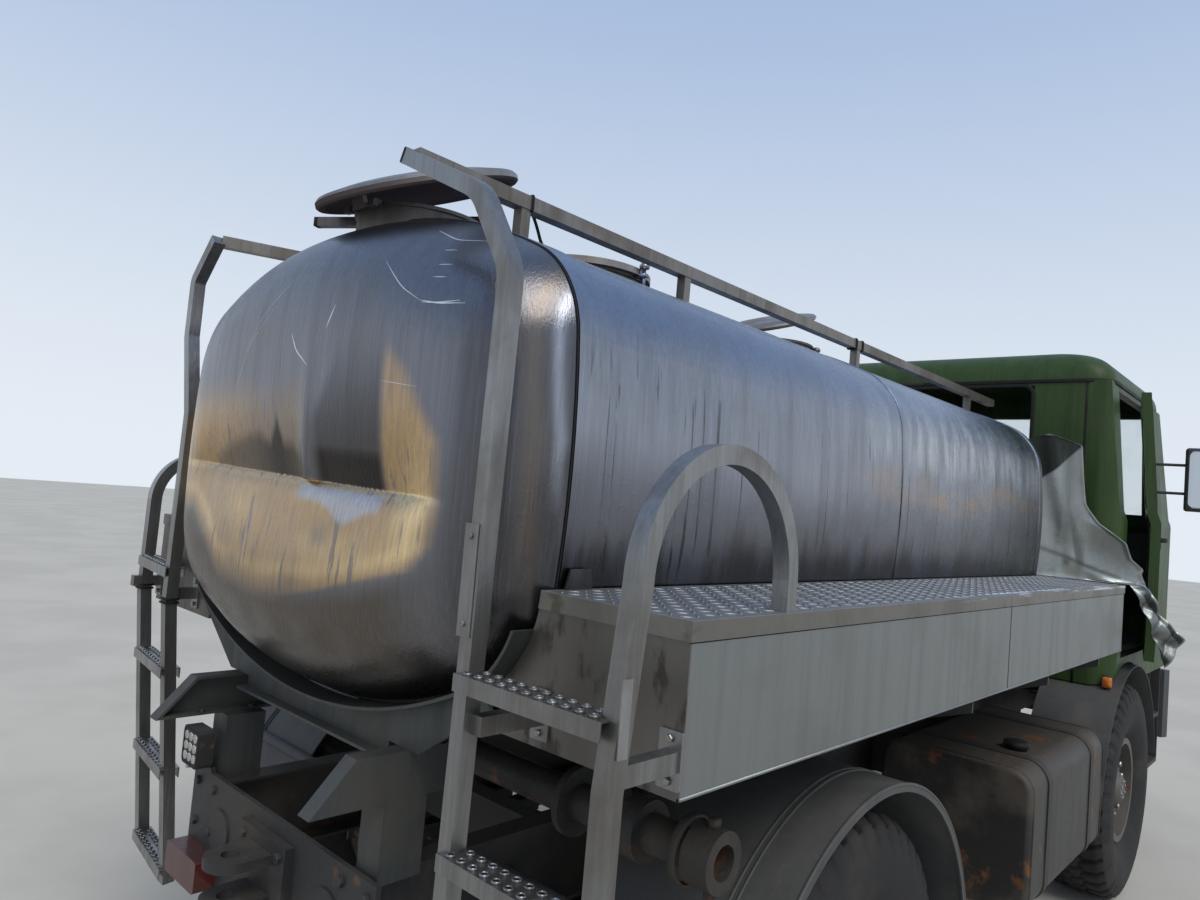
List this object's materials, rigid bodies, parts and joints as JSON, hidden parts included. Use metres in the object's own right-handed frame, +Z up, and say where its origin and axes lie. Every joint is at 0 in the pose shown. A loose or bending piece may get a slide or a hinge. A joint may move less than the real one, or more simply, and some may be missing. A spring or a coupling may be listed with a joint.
{
  "type": "tanker truck",
  "caption": "Two-axle truck with an oval stainless steel liquid tank, walkway lockers, rear ladders and a hinged-door cab.",
  "frame": {"origin": "on the ground under the middle of the truck's length and width", "axes": "+X forward, +Y to the truck's left, +Z up"},
  "size_m": [6.098, 2.9018, 3.0947],
  "materials": {
    "tank_steel": "brushed, rain-streaked stainless",
    "satin_steel": "satin sheet",
    "deck_plate": "dusty raised pattern",
    "rail_steel": "weathered",
    "frame_black": "dusty satin black",
    "cab_green": "faded olive green",
    "fender_grey": "dusty",
    "tyre": "dusty rubber",
    "rim_grey": "dusty grey",
    "glass": "clear",
    "cast": "oily",
    "lamp_clear": "clear lens",
    "lamp_red": "red lens",
    "interior": "worn",
    "interior_plastic": "worn",
    "dull_alloy": "dull"
  },
  "bodies": {
    "truck": {"chassis_frame": "frame_black", "towing_jaw": "cast", "leaf_springs": "frame_black", "rear_axle": "cast", "front_axle": "cast", "engine_block": "cast", "gearbox_and_shafts": "cast", "radiator": "frame_black", "tank_shell": "tank_steel", "tank_rear_head": "tank_steel", "tank_front_head": "tank_steel", "tank_bands": "tank_steel", "tank_saddles": "frame_black", "manhole_necks": "tank_steel", "closed_lids": "tank_steel", "walkway_lockers": "satin_steel", "walkway_decks": "deck_plate", "ladder_right": "rail_steel", "ladder_left": "rail_steel", "top_rails": "rail_steel", "rear_fenders": "fender_grey", "front_mudguards": "fender_grey", "fuel_tank": "frame_black", "fuel_tank_straps": "rail_steel", "battery_box": "frame_black", "air_tanks": "frame_black", "silencer": "cast", "discharge_pipe": "dull_alloy", "work_lamp": "lamp_clear", "tail_lamps": "lamp_red", "torn_sheet": "satin_steel", "cab_roof": "cab_green", "cab_rear_wall": "cab_green", "cab_sides": "cab_green", "cab_front": "cab_green", "windscreen": "glass", "cab_floor": "cab_green", "seats": "interior", "dashboard": "interior_plastic", "front_bumper": "frame_black", "headlamps": "lamp_clear", "entry_steps": "frame_black"},
    "wheel_front_right": {"tyre_front_right": "tyre", "rim_front_right": "rim_grey"},
    "wheel_rear_right": {"tyre_rear_right": "tyre", "rim_rear_right": "rim_grey"},
    "knuckle_right": {"knuckle_right": "cast"},
    "door_right": {"door_right": "cab_green", "door_glass_right": "glass", "mirror_right": "frame_black"},
    "wheel_front_left": {"tyre_front_left": "tyre", "rim_front_left": "rim_grey"},
    "wheel_rear_left": {"tyre_rear_left": "tyre", "rim_rear_left": "rim_grey"},
    "knuckle_left": {"knuckle_left": "cast"},
    "door_left": {"door_left": "cab_green", "door_glass_left": "glass", "mirror_left": "frame_black"},
    "rear_lid": {"rear_lid": "tank_steel"},
    "third_lid": {"third_lid": "tank_steel"}
  },
  "joints": [
    {"name": "wheel_front_right_spin", "type": "hinge", "parent": "knuckle_right", "child": "wheel_front_right", "pos_m": [1.64, -0.99, 0.59], "axis": [0, 1, 0], "continuous": true},
    {"name": "wheel_rear_right_spin", "type": "hinge", "parent": "truck", "child": "wheel_rear_right", "pos_m": [-1.81, -0.99, 0.59], "axis": [0, 1, 0], "continuous": true},
    {"name": "steer_right", "type": "hinge", "parent": "truck", "child": "knuckle_right", "pos_m": [1.64, -0.86, 0.59], "axis": [0, 0, 1], "range_deg": [-35, 35]},
    {"name": "door_right_hinge", "type": "hinge", "parent": "truck", "child": "door_right", "pos_m": [2.35, -1.144, 2], "axis": [0, 0, 1], "range_deg": [-10, 65]},
    {"name": "wheel_front_left_spin", "type": "hinge", "parent": "knuckle_left", "child": "wheel_front_left", "pos_m": [1.64, 0.99, 0.59], "axis": [0, 1, 0], "continuous": true},
    {"name": "wheel_rear_left_spin", "type": "hinge", "parent": "truck", "child": "wheel_rear_left", "pos_m": [-1.81, 0.99, 0.59], "axis": [0, 1, 0], "continuous": true},
    {"name": "steer_left", "type": "hinge", "parent": "truck", "child": "knuckle_left", "pos_m": [1.64, 0.86, 0.59], "axis": [0, 0, 1], "range_deg": [-35, 35]},
    {"name": "door_left_hinge", "type": "hinge", "parent": "truck", "child": "door_left", "pos_m": [2.35, 1.144, 2], "axis": [0, 0, -1], "range_deg": [0, 75]},
    {"name": "rear_lid_hinge", "type": "hinge", "parent": "truck", "child": "rear_lid", "pos_m": [-2.824, 0, 2.746], "axis": [0, -1, 0], "range_deg": [0, 30]},
    {"name": "third_lid_hinge", "type": "hinge", "parent": "truck", "child": "third_lid", "pos_m": [-0.872, 0, 2.783], "axis": [0, -1, 0], "range_deg": [-21, 50]}
  ],
  "couplings": [
    {"joint": "steer_left", "follows": "steer_right", "ratio": 1}
  ]
}
